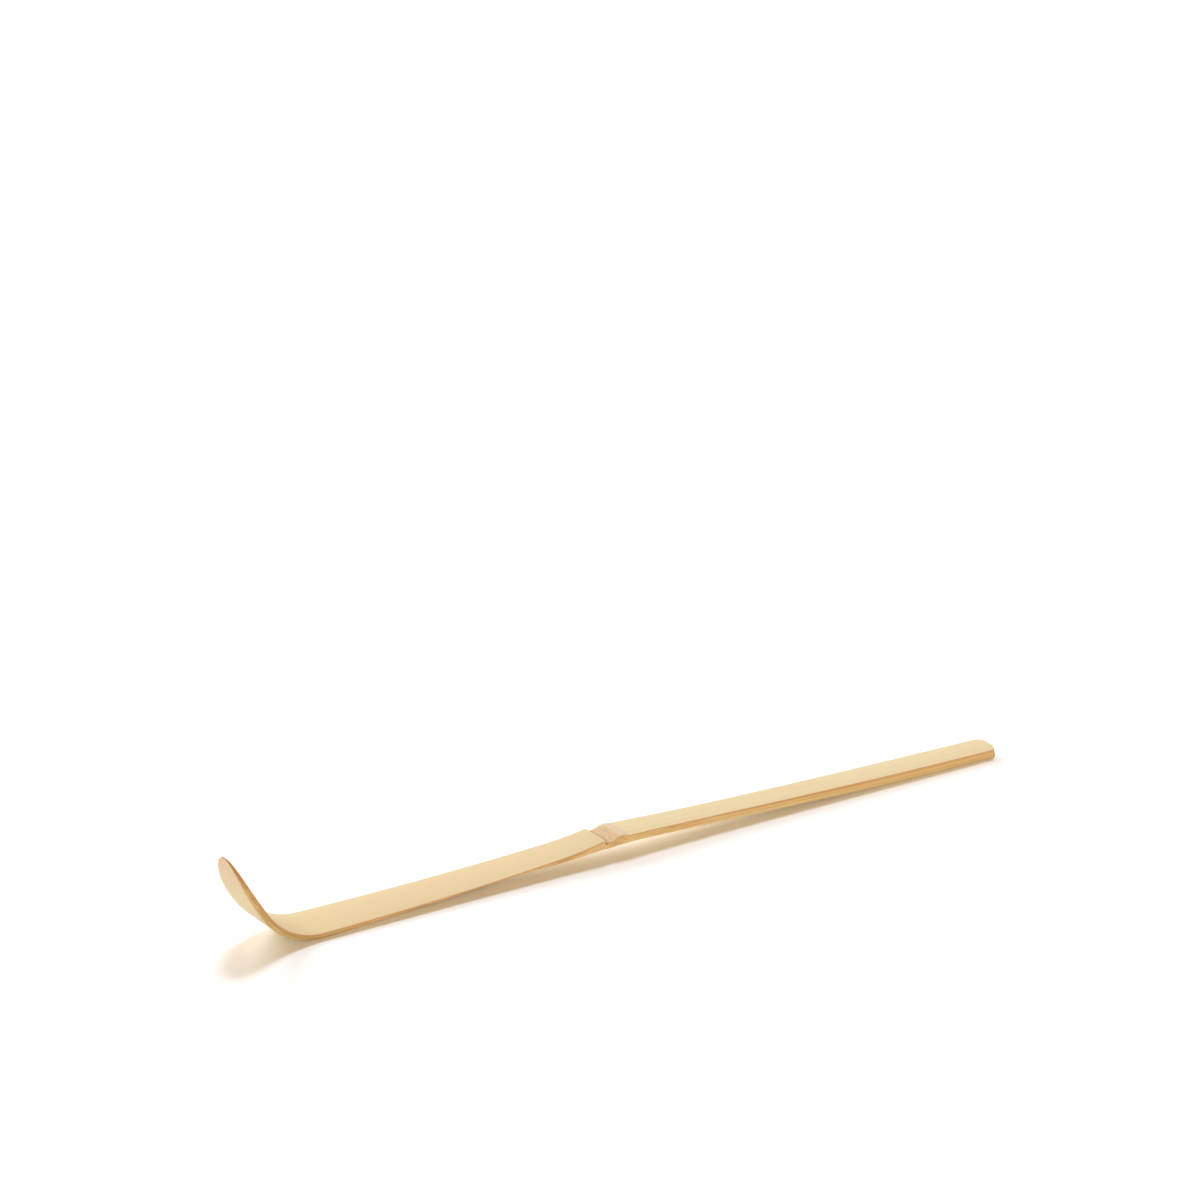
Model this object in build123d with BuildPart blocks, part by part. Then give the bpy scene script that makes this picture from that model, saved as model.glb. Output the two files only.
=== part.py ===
from build123d import *

import os
from collections import namedtuple
from math import acos, cos, pi, radians, sin, sqrt

# A tea scoop carved from one strip of bamboo, skin side up, and steam-bent at the tip into a bowl.
# X runs along the strip from the tip (-X) to the handle end (+X), Y runs across it and Z is up.
# Z = 0 is the table: the scoop lies on the bend of its bowl and on the flat under its handle end.
# Sizes are in mm. A top height is that of the skin's two side edges, and the skin crowns above them.

# Lengths along the strip
length = 180.0  # tip to handle end, as it lies
lip_to_end = 97.38  # from the lip before the sheath scar to the handle end
scar_length = 0.8  # the sheath scar, measured along the strip
ridge_from_lip = 4.2  # from the lip to the crest of the nodal ridge
node_length = 5.6  # from the lip to the foot of the ridge, where the handle's skin begins
rest_length = 10.0  # the underside is level over this length at the handle end, then starts to climb
flare_length = 10.0  # the skin rises over this length towards the lip

# The culm that the strip was split from
skin_thickness = 0.25
culm_radius = 40.0

# Underside: an arch from the bend to the flat, highest under the node, where a low belly is left on it
arch_height = 2.5
arch_power = 1.5  # how slowly the climb starts: 1 is a straight slope
rest_cut = 0.15  # planed off the underside to make the flat that the handle end rests on
node_belly = 0.2  # how far the belly stands proud of the arch, under the lip
belly_to_bowl = 7.0  # the belly fades over this length towards the bowl
belly_to_handle = 9.0  # the belly fades over this length towards the handle end

# Heights of the node's top edges above the arch there
lip_rise = 1.78
scar_rise = 1.15
groove_rise = 1.1
ridge_rise = 1.95
foot_rise = 1.67

# Handle
handle_end_height = 1.9
handle_sag = 0.38  # how far the handle's top dips below a straight line
handle_end_width = 6.5
handle_pinch = 0.75  # narrowing at the waist of the handle
handle_waist = 0.25  # place of the waist, as a share of the way from the ridge's foot to the end
handle_corner_radius = 2.4
handle_bevel = 0.35  # along the two lower edges, wide and high alike, fading round the corners

# Node
lip_width = 7.25
climb_width = 7.05  # on the way up from the scar to the ridge
ridge_width = 6.85
foot_width = 7.25
node_bevel = 0.3  # along the two lower edges, wide and high alike

# Shaft between the node and the bend
lip_flare = 0.58  # the rise of the skin at the lip
shaft_sag = 0.56  # how far the shaft's top dips below a straight line
shaft_swell = 0.25  # widening at the middle of the shaft
waist_share = 0.62  # place of the waist, as a share of the way from the bend to the lip
waist_side = 0.34  # height of the strip's side at the waist, where it is bevelled most
waist_flat = 5.0  # width of the underside at the waist
waist_power = 1.5  # how slowly the bevel lets go on both sides of the waist: 1 is a straight taper

# Bend and bowl
bend_width = 11.0
bend_radius = 14.5  # to the skin's edges, on the inside of the bend
bend_angle = 55.8
bowl_width = 12.1
bowl_radius = 54.0
bowl_length = 12.7
bowl_depth = 1.4  # thickness at the side edges
bowl_side = 0.82  # height of the strip's side
bowl_bevel = 0.53  # width of the bevel along each lower edge
tip_length = 11.5  # the rounded end of the bowl
tip_depth = 0.4
tip_side = 0.3
tip_bevel = 0.2
tip_flat = 1.2  # width left at the very tip

# Place of the section on the way up to the ridge, as a share of the way and of the rise
climb_share = 0.6

# Room around the strip, and past its two ends, that the layer of skin is cut with
layer_margin = 1.5
end_margin = 0.3

# Places along the strip
end_x = length / 2
lip_x = end_x - lip_to_end
scar_x = lip_x + scar_length
ridge_x = lip_x + ridge_from_lip
foot_x = lip_x + node_length
rest_x = end_x - rest_length
corner_x = end_x - handle_corner_radius
foot_height = arch_height + foot_rise

# The bent end is measured along its skin, from the start of the bend to the tip
bend_length = bend_radius * radians(bend_angle)
blade_length = bend_length + bowl_length
tip_angle = acos(tip_flat / bowl_width)
tip_start = blade_length - tip_length * sin(tip_angle)

# One cross-section of the strip: its plane, width, side height, underside width and depth
Station = namedtuple("Station", "plane width side flat depth")


def mix(first, last, share):
    """The value at a share of the way from first to last."""
    return first + (last - first) * share


def bulge(share):
    """0 at both ends of a stretch and 1 at its middle."""
    return 4 * share * (1 - share)


def shares(spans):
    """Even shares of a stretch, from 0 at its start to 1 at its end."""
    return [i / spans for i in range(spans + 1)]


def crown_drop(half_width):
    """How far the culm's round surface falls from its crest at this distance from it."""
    return culm_radius - sqrt(culm_radius**2 - half_width**2)


def cross_plane(x, height, pitch=0.0):
    """The plane across the strip at a point of its top edges, tilted by the strip's pitch there."""
    return Plane(origin=(x, 0, height), x_dir=(0, 1, 0), z_dir=(cos(pitch), 0, -sin(pitch)))


def blade_point(distance):
    """Offset in X and Z from the start of the bend, and pitch, at this distance along the bent end."""
    turn = min(distance, bend_length) / bend_radius
    along = max(distance - bend_length, 0.0)
    pitch = turn + along / bowl_radius
    x = -bend_radius * sin(turn) - bowl_radius * (sin(pitch) - sin(turn))
    z = bend_radius * (1 - cos(turn)) + bowl_radius * (cos(turn) - cos(pitch))
    return x, z, pitch


tip_offset, _, tip_pitch = blade_point(blade_length)
bend_x = -length / 2 - tip_offset + tip_depth * sin(tip_pitch)


def pinch(share):
    """0 at both ends of the handle and 1 at its waist."""
    fade = 1 / handle_waist - 1
    return share / handle_waist * (max(1 - share, 0.0) / (1 - handle_waist)) ** fade


def belly(x):
    """How far the underside stands proud of the arch at x, most under the lip."""
    reach = belly_to_bowl if x < lip_x else belly_to_handle
    return node_belly * max(1 - ((x - lip_x) / reach) ** 2, 0.0) ** 2


def handle_station(x, corner_turn=0.0):
    """The handle's section at x, narrowed by its rounded corners near the end."""
    share = (x - foot_x) / (end_x - foot_x)
    top = mix(foot_height, handle_end_height, share) - handle_sag * bulge(share)
    full_width = mix(foot_width, handle_end_width, share) - handle_pinch * pinch(share)
    width = full_width - 2 * handle_corner_radius * (1 - cos(corner_turn))
    bevel = handle_bevel * width / full_width
    climb = max((rest_x - x) / (rest_x - foot_x), 0.0) ** arch_power
    depth = top - mix(-rest_cut, arch_height, climb) + belly(x)
    return Station(cross_plane(x, top), width, depth - bevel, width - 2 * bevel, depth)


def node_station(x, rise, width):
    """The node's section at x, with its top this high above the arch."""
    depth = rise + belly(x)
    plane = cross_plane(x, arch_height + rise)
    return Station(plane, width, depth - node_bevel, width - 2 * node_bevel, depth)


def shaft_station(share):
    """The shaft's section at a share of the way from the bend to the lip."""
    x = mix(bend_x, lip_x, share)
    lip_height = arch_height + lip_rise
    flare = lip_flare * max(1 - (lip_x - x) / flare_length, 0.0) ** 2
    top = mix(bowl_depth, lip_height - lip_flare, share) - shaft_sag * bulge(share) + flare
    width = mix(bend_width, lip_width, share) + shaft_swell * bulge(share)
    depth = top - arch_height * share**2 + belly(x)
    if share < waist_share:
        spread = (1 - share / waist_share) ** waist_power
        side = mix(waist_side, bowl_side, spread)
        flat = mix(waist_flat, bend_width - 2 * bowl_bevel, spread)
    else:
        spread = ((share - waist_share) / (1 - waist_share)) ** waist_power
        side = mix(waist_side, lip_rise + node_belly - node_bevel, spread)
        flat = mix(waist_flat, lip_width - 2 * node_bevel, spread)
    return Station(cross_plane(x, top), width, side, flat, depth)


def blade_station(distance, tip_turn=0.0):
    """The bent end's section at this distance past the start of the bend, narrowed towards the tip."""
    x, z, pitch = blade_point(distance)
    taper = sin(tip_turn) ** 2
    width = mix(bend_width, bowl_width, min(distance / tip_start, 1.0)) * cos(tip_turn)
    depth = mix(bowl_depth, tip_depth, taper)
    side = mix(bowl_side, tip_side, taper)
    flat = width - 2 * mix(bowl_bevel, tip_bevel, taper)
    return Station(cross_plane(bend_x + x, bowl_depth + z, pitch), width, side, flat, depth)


def strip_section(station):
    """The strip's outline: crowned skin, upright sides, bevelled lower edges and a flat underside."""
    half = station.width / 2
    with BuildSketch(station.plane) as section:
        with BuildLine():
            skin = ThreePointArc((-half, 0), (0, crown_drop(half)), (half, 0))
            Polyline(
                skin @ 1,
                (half, -station.side),
                (station.flat / 2, -station.depth),
                (-station.flat / 2, -station.depth),
                (-half, -station.side),
                skin @ 0,
            )
        make_face()
    return section.sketch


def layer_section(station, width):
    """The room above the skin's lower face, wider than the strip, with the culm's own curve."""
    half = width / 2 + layer_margin
    crest = crown_drop(station.width / 2) - skin_thickness
    edge = crest - crown_drop(half)
    with BuildSketch(station.plane) as section:
        with BuildLine():
            face = ThreePointArc((-half, edge), (0, crest), (half, edge))
            Polyline(face @ 1, (half, layer_margin), (-half, layer_margin), face @ 0)
        make_face()
    return section.sketch


# Sections of the shaft, from the start of the bend to the lip
shaft_spans = 8
shaft_run = [shaft_station(share) for share in shares(shaft_spans)]

# Sections of the bent end, round the bend and up the bowl, then round the tip
bowl_spans = 6
tip_spans = 6
blade_run = [blade_station(tip_start * share) for share in shares(bowl_spans)]
for share in shares(tip_spans)[1:]:
    turn = tip_angle * share
    blade_run.append(blade_station(tip_start + tip_length * sin(turn), turn))
past_tip = blade_station(blade_length + end_margin, tip_angle)

# Sections of the node: the scar's hollow, the climb to the ridge, its crest and its foot
climb_x = mix(scar_x, ridge_x, climb_share)
climb_rise = mix(groove_rise, ridge_rise, climb_share)
node_run = [
    node_station(lip_x, scar_rise, lip_width),
    node_station(scar_x, groove_rise, lip_width),
    node_station(climb_x, climb_rise, climb_width),
    node_station(ridge_x, ridge_rise, ridge_width),
    node_station(foot_x, foot_rise, foot_width),
]

# Sections of the handle, from the ridge's foot to the rounded corners of its end
handle_spans = 8
corner_spans = 6
handle_run = [handle_station(mix(foot_x, corner_x, share)) for share in shares(handle_spans)]
corner_run = []
for share in shares(corner_spans):
    turn = pi / 2 * share
    corner_run.append(handle_station(corner_x + handle_corner_radius * sin(turn), turn))
past_end = end_x + end_margin
handle_layer_run = [handle_station(mix(foot_x, past_end, share)) for share in shares(handle_spans)]

# The strip in three lengths, and the room that its skin takes up in each
with BuildPart() as scoop_strip:
    for run in (shaft_run, blade_run):
        loft([strip_section(station) for station in run])

with BuildPart() as scoop_layer:
    for run in (shaft_run, blade_run + [past_tip]):
        loft([layer_section(station, bowl_width) for station in run])

with BuildPart() as node_strip:
    loft([strip_section(station) for station in node_run])

with BuildPart() as node_layer:
    loft([layer_section(station, lip_width) for station in node_run])

with BuildPart() as handle_strip:
    loft([strip_section(station) for station in handle_run])
    loft([strip_section(station) for station in corner_run], ruled=True)
    split(bisect_by=Plane.XY, keep=Keep.TOP)

with BuildPart() as handle_layer:
    loft([layer_section(station, foot_width) for station in handle_layer_run])

# Skin of the scoop side: it lines the bowl and ends at the lip
with BuildPart() as scoop_skin:
    add(scoop_strip.part)
    add(scoop_layer.part, mode=Mode.INTERSECT)

# Fibrous wall of the scoop side, with the back of the bowl
with BuildPart() as scoop_wall:
    add(scoop_strip.part)
    add(scoop_layer.part, mode=Mode.SUBTRACT)

# Sheath scar: the thin ring in the hollow beside the lip
with BuildPart() as sheath_scar:
    add(node_strip.part)
    add(node_layer.part, mode=Mode.INTERSECT)
    split(bisect_by=Plane.YZ.offset(scar_x), keep=Keep.BOTTOM)

# Node band: from the scar over the nodal ridge to its foot
with BuildPart() as node_band:
    add(node_strip.part)
    add(node_layer.part, mode=Mode.INTERSECT)
    split(bisect_by=Plane.YZ.offset(scar_x), keep=Keep.TOP)

# Node core: the tangled fibres under the scar and the band
with BuildPart() as node_core:
    add(node_strip.part)
    add(node_layer.part, mode=Mode.SUBTRACT)

# Skin of the handle side
with BuildPart() as handle_skin:
    add(handle_strip.part)
    add(handle_layer.part, mode=Mode.INTERSECT)

# Fibrous wall of the handle side, planed flat where its end rests
with BuildPart() as handle_wall:
    add(handle_strip.part)
    add(handle_layer.part, mode=Mode.SUBTRACT)

pieces = {
    "scoop_skin": scoop_skin,
    "scoop_wall": scoop_wall,
    "sheath_scar": sheath_scar,
    "node_band": node_band,
    "node_core": node_core,
    "handle_skin": handle_skin,
    "handle_wall": handle_wall,
}
os.makedirs("parts", exist_ok=True)
for label, piece in pieces.items():
    piece.part.label = label
    export_step(piece.part, f"parts/{label}.step")
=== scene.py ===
"""Looks of a bamboo tea scoop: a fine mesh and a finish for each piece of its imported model."""

from collections import namedtuple
from math import acos, asin, cos, pi, radians, sin, sqrt

import bpy
import numpy as np
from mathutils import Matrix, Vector, noise


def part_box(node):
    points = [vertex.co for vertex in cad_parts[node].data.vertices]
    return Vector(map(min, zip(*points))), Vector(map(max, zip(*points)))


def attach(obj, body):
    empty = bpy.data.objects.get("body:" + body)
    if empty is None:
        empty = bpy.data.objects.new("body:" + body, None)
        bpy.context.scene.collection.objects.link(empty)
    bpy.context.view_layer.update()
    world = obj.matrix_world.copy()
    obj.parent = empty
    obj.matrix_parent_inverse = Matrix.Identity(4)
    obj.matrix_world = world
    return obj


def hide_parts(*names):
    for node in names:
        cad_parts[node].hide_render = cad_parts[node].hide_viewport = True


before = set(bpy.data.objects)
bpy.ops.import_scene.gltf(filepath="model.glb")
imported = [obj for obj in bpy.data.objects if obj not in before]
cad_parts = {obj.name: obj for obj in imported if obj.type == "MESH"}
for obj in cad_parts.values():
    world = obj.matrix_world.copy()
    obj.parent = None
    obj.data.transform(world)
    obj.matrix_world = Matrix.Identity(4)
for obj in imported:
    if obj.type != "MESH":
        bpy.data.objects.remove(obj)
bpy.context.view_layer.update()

# Sizes are in millimetres up to the point where a mesh is made
MM = 0.001


def solid_box(node):
    """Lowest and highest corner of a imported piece, in millimetres."""
    low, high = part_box(node)
    return low / MM, high / MM


# Places along the strip and widths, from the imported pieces
lip_x = solid_box("scoop_skin")[1].x
scar_x = solid_box("sheath_scar")[1].x
foot_x = solid_box("handle_skin")[0].x
end_x = solid_box("handle_wall")[1].x
tip_x = -end_x
lip_width = 2 * solid_box("sheath_scar")[1].y
bowl_width = 2 * solid_box("scoop_skin")[1].y

# Lengths along the strip
ridge_from_lip = 4.2
rest_length = 10.0  # the underside is level over this length at the handle end, then starts to climb
flare_length = 10.0  # the skin rises over this length towards the lip

# The culm that the strip was split from
skin_thickness = 0.25
culm_radius = 40.0

# Underside: an arch from the bend to the flat, with a low belly under the node
arch_height = 2.5
arch_power = 1.5  # how slowly the climb starts: 1 is a straight slope
rest_cut = 0.15  # planed off the underside to make the flat that the handle end rests on
node_belly = 0.2
belly_to_bowl = 7.0
belly_to_handle = 9.0

# Heights of the node's top edges above the arch there
lip_rise = 1.78
scar_rise = 1.15
groove_rise = 1.1
ridge_rise = 1.95
foot_rise = 1.67

# Handle
handle_end_height = 1.9
handle_sag = 0.38
handle_end_width = 6.5
handle_pinch = 0.75  # narrowing at the waist of the handle
handle_waist = 0.25  # place of the waist, as a share of the way from the ridge's foot to the end
handle_corner_radius = 2.4
bevel_height = 0.22
bevel_reach = 0.6

# Node
ridge_width = 6.85
foot_width = 7.25
node_bevel = 0.3

# Shaft between the node and the bend
lip_flare = 0.58
shaft_sag = 0.56
shaft_swell = 0.25
waist_share = 0.62  # place of the waist, as a share of the way from the bend to the lip
waist_side = 0.34
waist_flat = 5.0
waist_power = 1.5  # how slowly the bevel lets go on both sides of the waist: 1 is a straight taper

# Bend and bowl
bend_width = 11.0
bend_radius = 14.5
bend_angle = 55.8
bowl_radius = 54.0
bowl_length = 12.7
bowl_depth = 1.4
bowl_side = 0.82
bowl_bevel = 0.53
tip_length = 11.5
tip_depth = 0.4
tip_side = 0.3
tip_bevel = 0.2
tip_flat = 1.2

# Rounding that use and sanding give to the edges
skin_edge = 0.13
wall_edge = 0.14
end_edge = 0.16
lip_edge = 0.22
corner_share = 0.4  # a rounded edge takes at most this share of the runs beside it

# The handle's end slants towards its near corner: the top there is set back by this much per height
end_lean = 0.34
end_lean_length = 3.0

# Points of the profiles
skin_top_points = 44  # across the skin
skin_side_points = 3  # on each side of the skin
skin_turn_points = 5  # round each edge of the skin
hidden_points = 10  # across the faces hidden inside
wall_run_points = (9, 7, 26, 7, 9)  # on the wall's far side and bevel, underside, near bevel and side
wall_turn_points = 4  # round each edge of the wall

# Meshes along the strip: pitch of the sections, and their number round the ends and over a rounded edge
fine_pitch = 0.1
strip_pitch = 0.3
tip_sections = 60
corner_sections = 24
edge_sections = 7
sharp_angle = 50.0  # edges that turn by more than this many degrees stay sharp
tiny_length = 1e-9  # the least length that a normal is divided by

# Relief: waves per millimetre along the grain, across it and in depth, and their height in millimetres
Waves = namedtuple("Waves", "per_mm height")
skin_waves = Waves((0.05, 1.1, 1.1), 0.012)
bundle_waves = Waves((0.09, 4.5, 4.5), 0.018)
fibre_waves = Waves((0.2, 11.0, 11.0), 0.008)
tangle_waves = Waves((1.3, 3.0, 5.0), 0.05)
torn_waves = Waves((3.5, 6.0, 9.0), 0.03)
wrinkle_waves = Waves((2.2, 0.5, 0.5), 0.018)
flake_waves = Waves((3.4, 1.3, 0.0), 0.05)
scar_waves = Waves((3.0, 1.6, 1.6), 0.04)
flake_reach = 1.1  # on both sides of the ridge's crest
groove_from_lip = 0.12
groove_reach = 0.16
groove_depth = 0.1

# Camera. Its azimuth and the lamps' are measured from +X towards +Y, and angles are in degrees.
camera_place = (-478.93, -725.12, 378.88)
camera_azimuth = -123.093
camera_elevation = 20.619
sensor_width = 36.0
lens_length = 144.0
view_reach = 50.0  # in metres

# Light: a soft box low behind the scoop, a cooler one high up behind it on the right, a low warm fill in
# front on the left, and a warm room
Lamp = namedtuple("Lamp", "name azimuth elevation softness strength colour")
lamps = (
    Lamp("back", 95.0, 27.0, 35.0, 2.5, (0.84, 0.89, 0.97)),
    Lamp("top", 57.0, 56.0, 18.0, 2.07, (0.725, 0.84, 1.0)),
    Lamp("fill", 240.0, 10.0, 40.0, 1.5, (1.0, 0.9, 0.72)),
)
world_colour = (1.0, 0.66, 0.3, 1.0)
world_strength = 0.32
white = (1.0, 1.0, 1.0, 1.0)

# Floor
floor_colour = (0.98, 0.98, 0.98, 1.0)
floor_glow = (0.095, 0.085, 0.065, 1.0)
floor_reach = 20.0  # in metres, from the middle to each side

# Derived places
ridge_x = lip_x + ridge_from_lip
rest_x = end_x - rest_length
corner_x = end_x - handle_corner_radius
foot_height = arch_height + foot_rise
bend_length = bend_radius * radians(bend_angle)
blade_length = bend_length + bowl_length
tip_angle = acos(tip_flat / bowl_width)
tip_start = blade_length - tip_length * sin(tip_angle)

# One cross-section of the strip. x, z and pitch place its top edges, along is the distance from the tip,
# inset is how far it is drawn in to round the strip's end, and lean is how far its near corner leans back.
Station = namedtuple("Station", "x z pitch width side flat depth along inset lean", defaults=(0.0, 0.0))


def mix(first, last, share):
    """The value at a share of the way from first to last."""
    return first + (last - first) * share


def bulge(share):
    """0 at both ends of a stretch and 1 at its middle."""
    return 4 * share * (1 - share)


def ease(share):
    """A share that starts and stops slowly."""
    return share * share * (3 - 2 * share)


def pinch(share):
    """0 at both ends of the handle and 1 at its waist."""
    fade = 1 / handle_waist - 1
    return share / handle_waist * (max(1 - share, 0.0) / (1 - handle_waist)) ** fade


def belly(x):
    """How far the underside stands proud of the arch at x, most under the lip."""
    reach = belly_to_bowl if x < lip_x else belly_to_handle
    return node_belly * max(1 - ((x - lip_x) / reach) ** 2, 0.0) ** 2


def crown_drop(distance):
    """How far the culm's round surface falls at this distance from its crest."""
    return culm_radius - np.sqrt(culm_radius**2 - distance**2)


def skin_height(width, across):
    """Height of the skin above its side edges."""
    return crown_drop(width / 2) - crown_drop(across)


def rounding(past, radius):
    """How far an edge rounded with this radius has fallen, this far past the start of its rounding."""
    past = min(max(past, 0.0), radius)
    return radius - sqrt(radius**2 - past**2)


def blade_point(distance):
    """Offset in X and Z from the start of the bend, and pitch, at this distance along the bent end."""
    turn = min(distance, bend_length) / bend_radius
    beyond = max(distance - bend_length, 0.0)
    pitch = turn + beyond / bowl_radius
    x = -bend_radius * sin(turn) - bowl_radius * (sin(pitch) - sin(turn))
    z = bend_radius * (1 - cos(turn)) + bowl_radius * (cos(turn) - cos(pitch))
    return x, z, pitch


tip_offset, _, tip_pitch = blade_point(blade_length)
bend_x = tip_x - tip_offset + tip_depth * sin(tip_pitch)


def along_at(x):
    """Distance from the tip along the strip, for a place on its straight part."""
    return blade_length + x - bend_x


def blade_station(distance):
    """The bent end's section at this distance past the start of the bend."""
    x, z, pitch = blade_point(distance)
    turn = asin(min(max(distance - tip_start, 0.0) / tip_length, sin(tip_angle)))
    taper = sin(turn) ** 2
    width = mix(bend_width, bowl_width, min(distance / tip_start, 1.0)) * cos(turn)
    depth = mix(bowl_depth, tip_depth, taper)
    side = mix(bowl_side, tip_side, taper)
    flat = width - 2 * mix(bowl_bevel, tip_bevel, taper)
    along = blade_length - distance
    inset = rounding(distance - blade_length + end_edge, end_edge)
    return Station(bend_x + x, bowl_depth + z, pitch, width, side, flat, depth, along, inset)


def shaft_station(share):
    """The shaft's section at a share of the way from the bend to the lip."""
    x = mix(bend_x, lip_x, share)
    lip_height = arch_height + lip_rise
    flare = lip_flare * max(1 - (lip_x - x) / flare_length, 0.0) ** 2
    top = mix(bowl_depth, lip_height - lip_flare, share) - shaft_sag * bulge(share) + flare
    width = mix(bend_width, lip_width, share) + shaft_swell * bulge(share)
    depth = top - arch_height * share**2 + belly(x)
    if share < waist_share:
        spread = (1 - share / waist_share) ** waist_power
        side = mix(waist_side, bowl_side, spread)
        flat = mix(waist_flat, bend_width - 2 * bowl_bevel, spread)
    else:
        spread = ((share - waist_share) / (1 - waist_share)) ** waist_power
        side = mix(waist_side, lip_rise + node_belly - node_bevel, spread)
        flat = mix(waist_flat, lip_width - 2 * node_bevel, spread)
    return Station(x, top, 0.0, width, side, flat, depth, along_at(x))


def node_station(x):
    """The node's section at x: the hollow beside the lip, the climb to the ridge or the way down."""
    if x < scar_x:
        rise = mix(scar_rise, groove_rise, ease((x - lip_x) / (scar_x - lip_x)))
        width = lip_width
    elif x < ridge_x:
        climb = ease((x - scar_x) / (ridge_x - scar_x))
        rise = mix(groove_rise, ridge_rise, climb)
        width = mix(lip_width, ridge_width, climb)
    else:
        fall = ease((x - ridge_x) / (foot_x - ridge_x))
        rise = mix(ridge_rise, foot_rise, fall)
        width = mix(ridge_width, foot_width, fall)
    depth = rise + belly(x)
    flat = width - 2 * node_bevel
    return Station(x, arch_height + rise, 0.0, width, depth - node_bevel, flat, depth, along_at(x))


def handle_station(x):
    """The handle's section at x, narrowed by its rounded corners near the end."""
    share = (x - foot_x) / (end_x - foot_x)
    turn = asin(min(max(x - corner_x, 0.0) / handle_corner_radius, 1.0))
    top = mix(foot_height, handle_end_height, share) - handle_sag * bulge(share)
    full_width = mix(foot_width, handle_end_width, share) - handle_pinch * pinch(share)
    width = full_width - 2 * handle_corner_radius * (1 - cos(turn))
    width_left = width / full_width
    climb = max((rest_x - x) / (rest_x - foot_x), 0.0) ** arch_power
    depth = top - max(mix(-rest_cut, arch_height, climb) - belly(x), 0.0)
    side = depth - bevel_height * width_left
    flat = width - 2 * bevel_reach * width_left
    inset = rounding(x - end_x + end_edge, end_edge)
    lean = end_lean * ease(max(1 - (end_x - x) / end_lean_length, 0.0))
    return Station(x, top, 0.0, width, side, flat, depth, along_at(x), inset, lean)


def rounded_path(corners, radius, run_points, turn_points):
    """Points along straight runs with rounded corners, from the first corner up to the last."""
    corners = [np.array(corner) for corner in corners]
    points = []
    start = corners[0]
    for before, corner, after, count in zip(corners, corners[1:], corners[2:], run_points):
        back = before - corner
        ahead = after - corner
        back_length = np.linalg.norm(back)
        ahead_length = np.linalg.norm(ahead)
        cut = min(radius, corner_share * back_length, corner_share * ahead_length)
        turn_in = corner + back * cut / back_length
        turn_out = corner + ahead * cut / ahead_length
        points.extend(np.linspace(start, turn_in, count, endpoint=False))
        for share in np.linspace(0, 1, turn_points, endpoint=False):
            points.append(mix(mix(turn_in, corner, share), mix(corner, turn_out, share), share))
        start = turn_out
    points.extend(np.linspace(start, corners[-1], run_points[-1], endpoint=False))
    return points


def layer_line(station, start, stop):
    """Points along the face between skin and wall, from one side edge to the other."""
    across = np.linspace(start, stop, hidden_points, endpoint=False)
    return list(zip(across, skin_height(station.width, across) - skin_thickness))


def drawn_in(station, profile):
    """The profile scaled about the middle of the whole section, by its inset."""
    middle = -station.depth / 2
    profile[:, 0] *= 1 - station.inset / (station.width / 2)
    profile[:, 1] = middle + (profile[:, 1] - middle) * (1 - station.inset / (station.depth / 2))
    return profile


def skin_profile(station):
    """Outline of the skin: crowned top, rounded edges, thin sides and the face on the wall."""
    half = station.width / 2
    edge = min(skin_edge, half / 3)
    inner = half - edge
    inner_height = skin_height(station.width, inner)
    across = np.linspace(-inner, inner, skin_top_points)
    points = list(zip(across, skin_height(station.width, across)))
    far = [(inner, inner_height), (half, 0.0), (half, -skin_thickness)]
    points += rounded_path(far, edge, (1, skin_side_points), skin_turn_points)[1:]
    points += layer_line(station, half, -half)
    near = [(-half, -skin_thickness), (-half, 0.0), (-inner, inner_height)]
    points += rounded_path(near, edge, (skin_side_points, 1), skin_turn_points)
    return drawn_in(station, np.array(points))


def lip_skin_profile(station):
    """Outline of the skin on the scoop side, thinned from above at the lip to round its edge."""
    profile = skin_profile(station)
    drop = rounding(station.x - lip_x + lip_edge, lip_edge)
    lower_face = skin_height(station.width, profile[:, 0]) - skin_thickness
    profile[:, 1] = lower_face + (profile[:, 1] - lower_face) * (1 - drop / skin_thickness)
    return profile


def wall_profile(station):
    """Outline of the wall: the face under the skin, the sides, the bevels and the underside."""
    half = station.width / 2
    low = station.flat / 2
    points = layer_line(station, -half, half)
    outside = [
        (half, -skin_thickness),
        (half, -station.side),
        (low, -station.depth),
        (-low, -station.depth),
        (-half, -station.side),
        (-half, -skin_thickness),
    ]
    points += rounded_path(outside, wall_edge, wall_run_points, wall_turn_points)
    return drawn_in(station, np.array(points))


def outward(profile):
    """Unit normals of a closed profile, out of the strip."""
    run = np.roll(profile, -1, axis=0) - np.roll(profile, 1, axis=0)
    normal = np.column_stack([-run[:, 1], run[:, 0]])
    return normal / np.maximum(np.linalg.norm(normal, axis=1, keepdims=True), tiny_length)


def rough(grain, waves):
    """Smooth noise at each point, drawn out along the grain, across it and in depth."""
    return np.array([waves.height * noise.noise(Vector(point)) for point in grain * np.array(waves.per_mm)])


def hump(distance, reach):
    """1 at no distance, fading to almost 0 at twice the reach."""
    return np.exp(-((distance / reach) ** 2))


def fibre_relief(grain):
    """Fine grooves along the fibres of a cut wall."""
    return rough(grain, bundle_waves) + rough(grain, fibre_waves)


def skin_relief(grain):
    """The faint lengthwise waves of the skin."""
    return rough(grain, skin_waves)


def tangled_relief(grain):
    """The torn, tangled fibres in the cut side of a node."""
    return rough(grain, tangle_waves) + rough(grain, torn_waves)


def band_relief(grain):
    """Wrinkles round the node, with flakes on its ridge."""
    ridge = hump(grain[:, 0] - along_at(ridge_x), flake_reach)
    return rough(grain, wrinkle_waves) + ridge * rough(grain, flake_waves)


def scar_relief(grain):
    """The uneven rim of the sheath scar, with a groove beside the lip."""
    from_lip = grain[:, 0] - along_at(lip_x)
    return rough(grain, scar_waves) - groove_depth * hump(from_lip - groove_from_lip, groove_reach)


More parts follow.
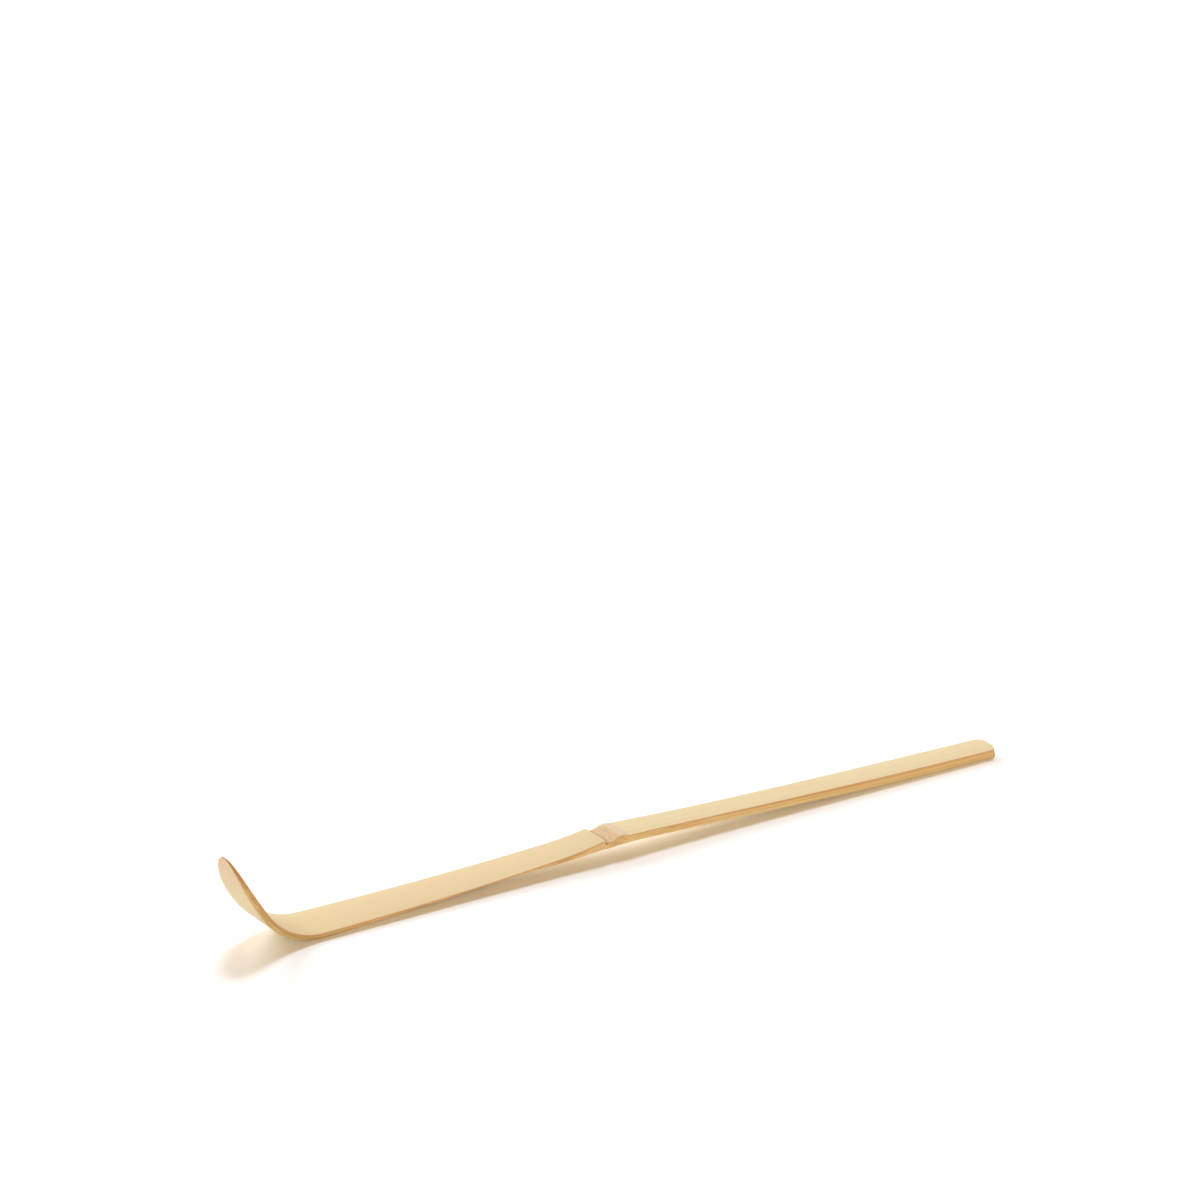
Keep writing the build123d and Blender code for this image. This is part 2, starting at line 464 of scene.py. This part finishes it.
def ring(station, profile_of, relief):
    """One section's points in place, their grain coordinates and their shares of the strip's depth."""
    profile = profile_of(station)
    depth = skin_height(station.width, profile[:, 0]) - profile[:, 1]
    grain = np.column_stack([np.full(len(profile), station.along), profile[:, 0], depth])
    shaped = profile + outward(profile) * relief(grain)[:, None]
    x = station.x + shaped[:, 1] * sin(station.pitch)
    nearness = np.clip(0.5 - shaped[:, 0] / handle_end_width, 0, 1)
    x -= station.lean * nearness * (shaped[:, 1] + station.depth)
    z = np.maximum(station.z + shaped[:, 1] * cos(station.pitch), 0.0)
    inner = np.clip(-profile[:, 1] / station.depth, 0, 1)
    return np.column_stack([x, shaped[:, 0], z]), grain, inner


def tube_faces(rings, size):
    """Faces of a tube through rings of points, with one face across each end."""
    index = np.arange(rings * size).reshape(rings, size)
    here = index[:-1]
    ahead = index[1:]
    quads = np.stack([here, ahead, np.roll(ahead, -1, axis=1), np.roll(here, -1, axis=1)], axis=-1)
    return quads.reshape(-1, 4).tolist() + [index[0].tolist(), index[-1][::-1].tolist()]


def strip_mesh(name, stations, profile_of, relief):
    """A closed mesh through the stations' profiles, with the coordinates that its finish reads."""
    rings = [ring(station, profile_of, relief) for station in stations]
    places, grains, inners = zip(*rings)
    mesh = bpy.data.meshes.new(name)
    mesh.from_pydata((np.concatenate(places) * MM).tolist(), [], tube_faces(len(places), len(places[0])))
    mesh.attributes.new("grain", "FLOAT_VECTOR", "POINT").data.foreach_set("vector", np.ravel(grains))
    mesh.attributes.new("inner", "FLOAT", "POINT").data.foreach_set("value", np.ravel(inners))
    mesh.shade_smooth()
    mesh.set_sharp_from_angle(angle=radians(sharp_angle))
    return mesh


def add_piece(name, node, finish, stations, profile_of, relief):
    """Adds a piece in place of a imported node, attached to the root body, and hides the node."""
    piece = bpy.data.objects.new(name, strip_mesh(name, stations, profile_of, relief))
    bpy.context.scene.collection.objects.link(piece)
    piece.data.materials.append(finish)
    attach(piece, "root")
    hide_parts(node)


def srgb(red, green, blue):
    """A colour written as it looks on a screen, 0 to 255, as the linear one that a shader takes."""
    shares = [value / 255 for value in (red, green, blue)]
    linear = [((v + 0.055) / 1.055) ** 2.4 if v > 0.04045 else v / 12.92 for v in shares]
    return (*linear, 1.0)


# Colours of the skin
dark_cream = srgb(220, 200, 155)
pale_cream = srgb(226, 206, 163)
warm_cream = srgb(224, 198, 150)
fibre_cream = srgb(212, 185, 138)
shaft_cream = srgb(219, 195, 147)
grey_cream = srgb(211, 192, 148)
rim_brown = srgb(176, 142, 98)
# Painted edge shade on the skin's cut sides
edge_shade_brown = srgb(204, 146, 102)

# Colours of the wall and the node's core
outer_gold = srgb(228, 196, 138)
inner_gold = srgb(232, 205, 151)
bundle_brown = srgb(206, 156, 94)
light_fibre = srgb(240, 216, 162)
dark_fibre = srgb(196, 146, 86)
back_cream = srgb(236, 221, 184)
# Darkens the bent end's rim and sides: partly browning, partly painted shade
browned_shade_tint = srgb(224, 220, 212)
speck_tan = srgb(214, 178, 136)
blush_pink = srgb(230, 204, 176)
tip_red = srgb(198, 124, 94)
torn_brown = srgb(198, 155, 92)
torn_gold = srgb(232, 200, 142)

# Colours of the node's band and the scar
dark_band = srgb(204, 171, 127)
light_band = srgb(214, 184, 141)
ridge_cream = srgb(220, 199, 163)
flake_tan = srgb(213, 178, 134)
groove_brown = srgb(150, 112, 72)
cut_tan = srgb(205, 160, 104)
dark_scar = srgb(120, 84, 52)
light_scar = srgb(168, 128, 84)
scar_tan = srgb(218, 184, 138)

# Where the colours fade along the strip: two offsets from the lip, the scar's end, the ridge or the foot
lip_tint = (0.0, 0.5)
lip_grey = (-12.0, -1.0)
lip_rim = (-0.25, -0.05)
torn_past_lip = (0.0, 1.6)
torn_before_foot = (-2.5, 0.0)
pale_before_ridge = (-1.2, 0.0)
dark_past_scar = (0.05, 0.35)
scar_line = (0.6, 0.95)
scar_wander = 0.5  # how far the scar's line strays along the strip

# The same, as distances from the tip
bent_end = (24.0, 40.0)
speckled_end = (20.0, 26.0)
tip_blush = (1.0, 8.0)
tip_red_span = (1.5, 6.0)

# Depths below the skin's surface at which a cut side begins
skin_cut = (0.05, 0.12)
band_cut = (0.05, 0.14)

# Places of the colour sockets on a mix node
COLOUR_A = 6
COLOUR_B = 7
COLOUR_RESULT = 2


class Finish:
    """One material's node tree, with a short call for each kind of node."""

    def __init__(self, name):
        self.material = bpy.data.materials.new(name)
        self.material.use_nodes = True
        self.tree = self.material.node_tree
        self.shader = self.tree.nodes["Principled BSDF"]

    def put(self, socket, value):
        """Links or sets one input."""
        if isinstance(value, bpy.types.NodeSocket):
            self.tree.links.new(value, socket)
        else:
            socket.default_value = value

    def attribute(self, name, output):
        """A coordinate stored in the mesh."""
        node = self.tree.nodes.new("ShaderNodeAttribute")
        node.attribute_name = name
        return node.outputs[output]

    def part(self, vector, axis):
        """One of the three numbers of a vector."""
        node = self.tree.nodes.new("ShaderNodeSeparateXYZ")
        self.put(node.inputs[0], vector)
        return node.outputs[axis]

    def math(self, operation, first, second):
        """A sum, product or other operation on two numbers."""
        node = self.tree.nodes.new("ShaderNodeMath")
        node.operation = operation
        self.put(node.inputs[0], first)
        self.put(node.inputs[1], second)
        return node.outputs[0]

    def product(self, first, *others):
        """The product of two or more numbers."""
        for other in others:
            first = self.math("MULTIPLY", first, other)
        return first

    def noise(self, vector, per_mm, detail):
        """Noise with this many waves per millimetre along the grain, across it and in depth."""
        stretch = self.tree.nodes.new("ShaderNodeVectorMath")
        stretch.operation = "MULTIPLY"
        self.put(stretch.inputs[0], vector)
        self.put(stretch.inputs[1], per_mm)
        node = self.tree.nodes.new("ShaderNodeTexNoise")
        self.put(node.inputs["Vector"], stretch.outputs[0])
        self.put(node.inputs["Scale"], 1.0)
        self.put(node.inputs["Detail"], detail)
        return node.outputs["Fac"]

    def share(self, value, start, stop, low=0.0, high=1.0):
        """A number that eases from low to high while the value goes from start to stop."""
        node = self.tree.nodes.new("ShaderNodeMapRange")
        node.interpolation_type = "SMOOTHSTEP"
        names = ("Value", "From Min", "From Max", "To Min", "To Max")
        for name, given in zip(names, (value, start, stop, low, high)):
            self.put(node.inputs[name], given)
        return node.outputs[0]

    def fade(self, along, x, offsets, low=0.0, high=1.0):
        """A number that eases from low to high between two offsets from the place x on the strip."""
        start, stop = offsets
        return self.share(along, along_at(x) + start, along_at(x) + stop, low, high)

    def mixed(self, share, first, last, blend="MIX"):
        """A colour at a share of the way from first to last, or to their product for MULTIPLY."""
        node = self.tree.nodes.new("ShaderNodeMix")
        node.data_type = "RGBA"
        node.blend_type = blend
        self.put(node.inputs["Factor"], share)
        self.put(node.inputs[COLOUR_A], first)
        self.put(node.inputs[COLOUR_B], last)
        return node.outputs[COLOUR_RESULT]

    def bump(self, height, distance):
        """Bends the shader's normal by a height, whose full range is the distance in millimetres."""
        node = self.tree.nodes.new("ShaderNodeBump")
        self.put(node.inputs["Height"], height)
        self.put(node.inputs["Distance"], distance * MM)
        self.put(self.shader.inputs["Normal"], node.outputs[0])

    def done(self, colour, roughness, specular):
        """Sets the shader's colour and shine, and gives the material."""
        self.put(self.shader.inputs["Base Color"], colour)
        self.put(self.shader.inputs["Roughness"], roughness)
        self.put(self.shader.inputs["Specular IOR Level"], specular)
        return self.material


def skin_finish():
    """Satin cream rind with fine lengthwise streaks, greyer towards the lip, with painted shade in brown on
    its cut sides.
    """
    finish = Finish("bamboo_skin")
    grain = finish.attribute("grain", "Vector")
    along = finish.part(grain, "X")
    depth = finish.part(grain, "Z")
    streak = finish.noise(grain, per_mm=(0.02, 2.0, 2.0), detail=3.0)
    fibre = finish.noise(grain, per_mm=(0.1, 10.0, 10.0), detail=2.0)
    patch = finish.noise(grain, per_mm=(0.06, 0.25, 0.25), detail=2.0)
    colour = finish.mixed(finish.share(streak, 0.3, 0.7), dark_cream, pale_cream)
    colour = finish.mixed(finish.share(patch, 0.4, 0.75, 0.0, 0.4), colour, warm_cream)
    colour = finish.mixed(finish.share(fibre, 0.55, 0.8, 0.0, 0.25), colour, fibre_cream)
    scoop_side = finish.fade(along, lip_x, lip_tint, 1.0, 0.0)
    colour = finish.mixed(finish.product(scoop_side, 0.6), colour, shaft_cream)
    near_lip = finish.fade(along, lip_x, lip_grey, 0.0, 0.6)
    colour = finish.mixed(finish.product(near_lip, scoop_side), colour, grey_cream)
    rim = finish.fade(along, lip_x, lip_rim, 0.0, 0.8)
    colour = finish.mixed(finish.product(rim, scoop_side), colour, rim_brown)
    # Painted shade: a brown line on the skin's cut sides, along the edges of its top
    colour = finish.mixed(finish.share(depth, *skin_cut, 0.0, 0.9), colour, edge_shade_brown)
    finish.bump(finish.math("ADD", streak, fibre), distance=0.012)
    return finish.done(colour, roughness=finish.share(streak, 0.3, 0.7, 0.5, 0.6), specular=0.15)


def cut_fibres(finish, grain, inner):
    """Colour and height of cut bamboo: golden brown bundles, denser and darker under the skin."""
    bundle = finish.noise(grain, per_mm=(0.012, 3.4, 3.4), detail=1.0)
    fibre = finish.noise(grain, per_mm=(0.06, 12.0, 12.0), detail=2.0)
    colour = finish.mixed(finish.share(inner, 0.2, 0.7), outer_gold, inner_gold)
    dense = finish.share(inner, 0.45, 0.95, 0.75, 0.1)
    dark = finish.share(bundle, 0.46, 0.58)
    colour = finish.mixed(finish.product(dark, dense), colour, bundle_brown)
    colour = finish.mixed(finish.share(fibre, 0.5, 0.7, 0.0, 0.3), colour, light_fibre)
    colour = finish.mixed(finish.share(fibre, 0.5, 0.3, 0.0, 0.2), colour, dark_fibre)
    return colour, finish.math("ADD", bundle, fibre)


def wall_finish():
    """Cut bamboo with lengthwise fibres. The bent end has a pale, speckled back and a darker rim, partly
    browned and partly painted shade, which is reddish at the tip."""
    finish = Finish("bamboo_wall")
    grain = finish.attribute("grain", "Vector")
    inner = finish.attribute("inner", "Fac")
    along = finish.part(grain, "X")
    colour, height = cut_fibres(finish, grain, inner)
    bent = finish.share(along, *bent_end, 1.0, 0.0)
    pale = finish.product(bent, finish.share(inner, 0.93, 1.0))
    colour = finish.mixed(pale, colour, back_cream)
    # Painted shade: the bent end's rim and sides are darkened, partly as a browning of the bend and partly
    # as shade
    browning_and_shade = finish.product(bent, finish.share(inner, 0.9, 1.0, 1.0, 0.0))
    colour = finish.mixed(browning_and_shade, colour, browned_shade_tint, "MULTIPLY")
    speck = finish.noise(grain, per_mm=(1.6, 4.0, 4.0), detail=3.0)
    back = finish.product(finish.share(inner, 0.85, 1.0), finish.share(along, *speckled_end, 1.0, 0.0))
    speckled = finish.product(back, finish.share(speck, 0.5, 0.66, 0.0, 0.6))
    colour = finish.mixed(speckled, colour, speck_tan)
    blush = finish.product(back, finish.share(along, *tip_blush, 0.6, 0.0))
    colour = finish.mixed(blush, colour, blush_pink)
    # Reddish on the sides towards the tip
    blot = finish.noise(grain, per_mm=(0.35, 0.8, 1.2), detail=2.0)
    tip_reddening = finish.product(
        finish.share(along, *tip_red_span, 0.8, 0.0),
        finish.share(inner, 0.6, 0.95, 1.0, 0.0),
        finish.share(blot, 0.2, 0.6, 0.45, 1.0),
    )
    colour = finish.mixed(tip_reddening, colour, tip_red)
    finish.bump(height, distance=0.04)
    return finish.done(colour, roughness=finish.share(height, 0.7, 1.3, 0.55, 0.7), specular=0.15)


def core_finish():
    """Rough golden fibres of the node, tangled and torn across."""
    finish = Finish("node_core")
    grain = finish.attribute("grain", "Vector")
    inner = finish.attribute("inner", "Fac")
    along = finish.part(grain, "X")
    colour, _ = cut_fibres(finish, grain, inner)
    tangle = finish.noise(grain, per_mm=(1.0, 3.0, 5.0), detail=4.0)
    torn = finish.mixed(finish.share(tangle, 0.35, 0.65), torn_brown, torn_gold)
    before_foot = finish.fade(along, foot_x, torn_before_foot, 0.85, 0.2)
    past_lip = finish.fade(along, lip_x, torn_past_lip)
    colour = finish.mixed(finish.product(before_foot, past_lip), colour, torn)
    finish.bump(tangle, distance=0.1)
    return finish.done(colour, roughness=finish.share(tangle, 0.3, 0.7, 0.6, 0.75), specular=0.25)


def band_finish():
    """Pinkish tan rind of the node, paler and flaky on the ridge."""
    finish = Finish("node_band")
    grain = finish.attribute("grain", "Vector")
    along = finish.part(grain, "X")
    depth = finish.part(grain, "Z")
    wrinkle = finish.noise(grain, per_mm=(2.0, 0.5, 0.5), detail=3.0)
    flake = finish.noise(grain, per_mm=(3.0, 1.4, 1.4), detail=3.0)
    colour = finish.mixed(finish.share(wrinkle, 0.3, 0.7), dark_band, light_band)
    ridge = finish.fade(along, ridge_x, pale_before_ridge, 0.0, 0.8)
    colour = finish.mixed(ridge, colour, ridge_cream)
    flaky = finish.product(ridge, finish.share(flake, 0.52, 0.7, 0.0, 0.6))
    colour = finish.mixed(flaky, colour, flake_tan)
    groove = finish.fade(along, scar_x, dark_past_scar, 0.75, 0.0)
    colour = finish.mixed(groove, colour, groove_brown)
    colour = finish.mixed(finish.share(depth, *band_cut, 0.0, 0.7), colour, cut_tan)
    finish.bump(finish.math("ADD", wrinkle, flake), distance=0.03)
    return finish.done(colour, roughness=finish.share(flake, 0.3, 0.7, 0.5, 0.62), specular=0.15)


def scar_finish():
    """Dark brown line of the fallen sheath, which fades into the band."""
    finish = Finish("sheath_scar")
    grain = finish.attribute("grain", "Vector")
    along = finish.part(grain, "X")
    wander = finish.noise(grain, per_mm=(0.6, 0.9, 0.9), detail=2.0)
    strayed = finish.math("ADD", along, finish.product(wander, scar_wander))
    speck = finish.noise(grain, per_mm=(4.0, 5.0, 5.0), detail=3.0)
    dark = finish.mixed(finish.share(speck, 0.35, 0.65), dark_scar, light_scar)
    colour = finish.mixed(finish.fade(strayed, lip_x, scar_line), dark, scar_tan)
    finish.bump(speck, distance=0.05)
    return finish.done(colour, roughness=0.65, specular=0.3)


def background_rays(tree):
    """1 for rays that show the background: from the camera, from a shine or through a clear body."""
    path = tree.nodes.new("ShaderNodeLightPath")
    seen = path.outputs["Is Camera Ray"]
    for kind in ("Is Glossy Ray", "Is Transmission Ray"):
        either = tree.nodes.new("ShaderNodeMath")
        either.operation = "MAXIMUM"
        tree.links.new(seen, either.inputs[0])
        tree.links.new(path.outputs[kind], either.inputs[1])
        seen = either.outputs[0]
    return seen


def floor_finish():
    """White paper that keeps the shadow, with a faint warm glow that lights nothing."""
    finish = Finish("floor")
    finish.put(finish.shader.inputs["Emission Color"], floor_glow)
    finish.put(finish.shader.inputs["Emission Strength"], background_rays(finish.tree))
    return finish.done(floor_colour, roughness=1.0, specular=0.0)


def add_floor():
    """A wide sheet under the scoop."""
    mesh = bpy.data.meshes.new("floor")
    corners = [(x * floor_reach, y * floor_reach, 0.0) for x, y in ((-1, -1), (1, -1), (1, 1), (-1, 1))]
    mesh.from_pydata(corners, [], [(0, 1, 2, 3)])
    mesh.materials.append(floor_finish())
    floor = bpy.data.objects.new("floor", mesh)
    bpy.context.scene.collection.objects.link(floor)


def direction(azimuth, elevation):
    """The unit vector towards an azimuth and an elevation, given in degrees."""
    turn = radians(azimuth)
    climb = radians(elevation)
    return Vector((cos(turn) * cos(climb), sin(turn) * cos(climb), sin(climb)))


def add_lamp(lamp):
    """A soft light from far off."""
    data = bpy.data.lights.new(lamp.name, "SUN")
    data.energy = lamp.strength
    data.angle = radians(lamp.softness)
    data.color = lamp.colour
    light = bpy.data.objects.new(lamp.name, data)
    light.rotation_mode = "QUATERNION"
    light.rotation_quaternion = direction(lamp.azimuth, lamp.elevation).to_track_quat("Z", "Y")
    bpy.context.scene.collection.objects.link(light)


def add_world():
    """Even light from all round, behind which the camera sees white."""
    world = bpy.data.worlds.new("studio")
    world.use_nodes = True
    bpy.context.scene.world = world
    tree = world.node_tree
    room = tree.nodes["Background"]
    room.inputs["Color"].default_value = world_colour
    room.inputs["Strength"].default_value = world_strength
    backdrop = tree.nodes.new("ShaderNodeBackground")
    backdrop.inputs["Color"].default_value = white
    choice = tree.nodes.new("ShaderNodeMixShader")
    tree.links.new(background_rays(tree), choice.inputs[0])
    tree.links.new(room.outputs[0], choice.inputs[1])
    tree.links.new(backdrop.outputs[0], choice.inputs[2])
    tree.links.new(choice.outputs[0], tree.nodes["World Output"].inputs["Surface"])


def add_camera():
    """The photograph's point of view."""
    data = bpy.data.cameras.new("camera")
    data.sensor_width = sensor_width
    data.lens = lens_length
    data.clip_end = view_reach
    camera = bpy.data.objects.new("camera", data)
    back = direction(camera_azimuth, camera_elevation)
    camera.location = Vector(camera_place) * MM
    camera.rotation_mode = "QUATERNION"
    camera.rotation_quaternion = (-back).to_track_quat("-Z", "Y")
    bpy.context.scene.collection.objects.link(camera)
    bpy.context.scene.camera = camera


def steps(start, stop, pitch):
    """Even places from start to stop, about a pitch apart."""
    return np.linspace(start, stop, max(round(abs(stop - start) / pitch), 2) + 1)


def edge_places(end, radius):
    """Places that follow a rounded edge up to its end."""
    return [end - radius + radius * sin(turn) for turn in np.linspace(0, pi / 2, edge_sections)]


def scoop_sections():
    """Sections from the tip down the bowl, round the bend and along the shaft to the lip."""
    tip_turns = np.linspace(tip_angle, 0, tip_sections)
    distances = edge_places(blade_length, end_edge)[::-1]
    distances += [d for d in tip_start + tip_length * np.sin(tip_turns) if d < blade_length - end_edge]
    distances += list(steps(tip_start, 0.0, strip_pitch)[1:-1])
    places = list(steps(bend_x, lip_x - lip_edge, strip_pitch))
    places += edge_places(lip_x, lip_edge)[1:]
    shaft = [shaft_station((x - bend_x) / (lip_x - bend_x)) for x in places]
    return [blade_station(distance) for distance in distances] + shaft


def handle_sections():
    """Sections from the ridge's foot to the handle's end."""
    turns = np.linspace(0, pi / 2, corner_sections)
    places = list(steps(foot_x, corner_x, strip_pitch))
    places += [x for x in corner_x + handle_corner_radius * np.sin(turns[1:]) if x < end_x - end_edge]
    places += edge_places(end_x, end_edge)
    return [handle_station(x) for x in places]


# Sections of the pieces, from the tip to the handle end
scoop = scoop_sections()
scar = [node_station(x) for x in steps(lip_x, scar_x, fine_pitch)]
band = [node_station(x) for x in steps(scar_x, foot_x, fine_pitch)]
core = scar + band[1:]
handle = handle_sections()

# The pieces
skin = skin_finish()
wall = wall_finish()
add_piece("bowl_skin", "scoop_skin", skin, scoop, lip_skin_profile, skin_relief)
add_piece("bowl_wall", "scoop_wall", wall, scoop, wall_profile, fibre_relief)
add_piece("scar_ring", "sheath_scar", scar_finish(), scar, skin_profile, scar_relief)
add_piece("node_ridge", "node_band", band_finish(), band, skin_profile, band_relief)
add_piece("node_fibres", "node_core", core_finish(), core, wall_profile, tangled_relief)
add_piece("grip_skin", "handle_skin", skin, handle, skin_profile, skin_relief)
add_piece("grip_wall", "handle_wall", wall, handle, wall_profile, fibre_relief)

# The studio
add_floor()
add_world()
for lamp in lamps:
    add_lamp(lamp)
add_camera()
bpy.context.scene.view_settings.view_transform = "Standard"
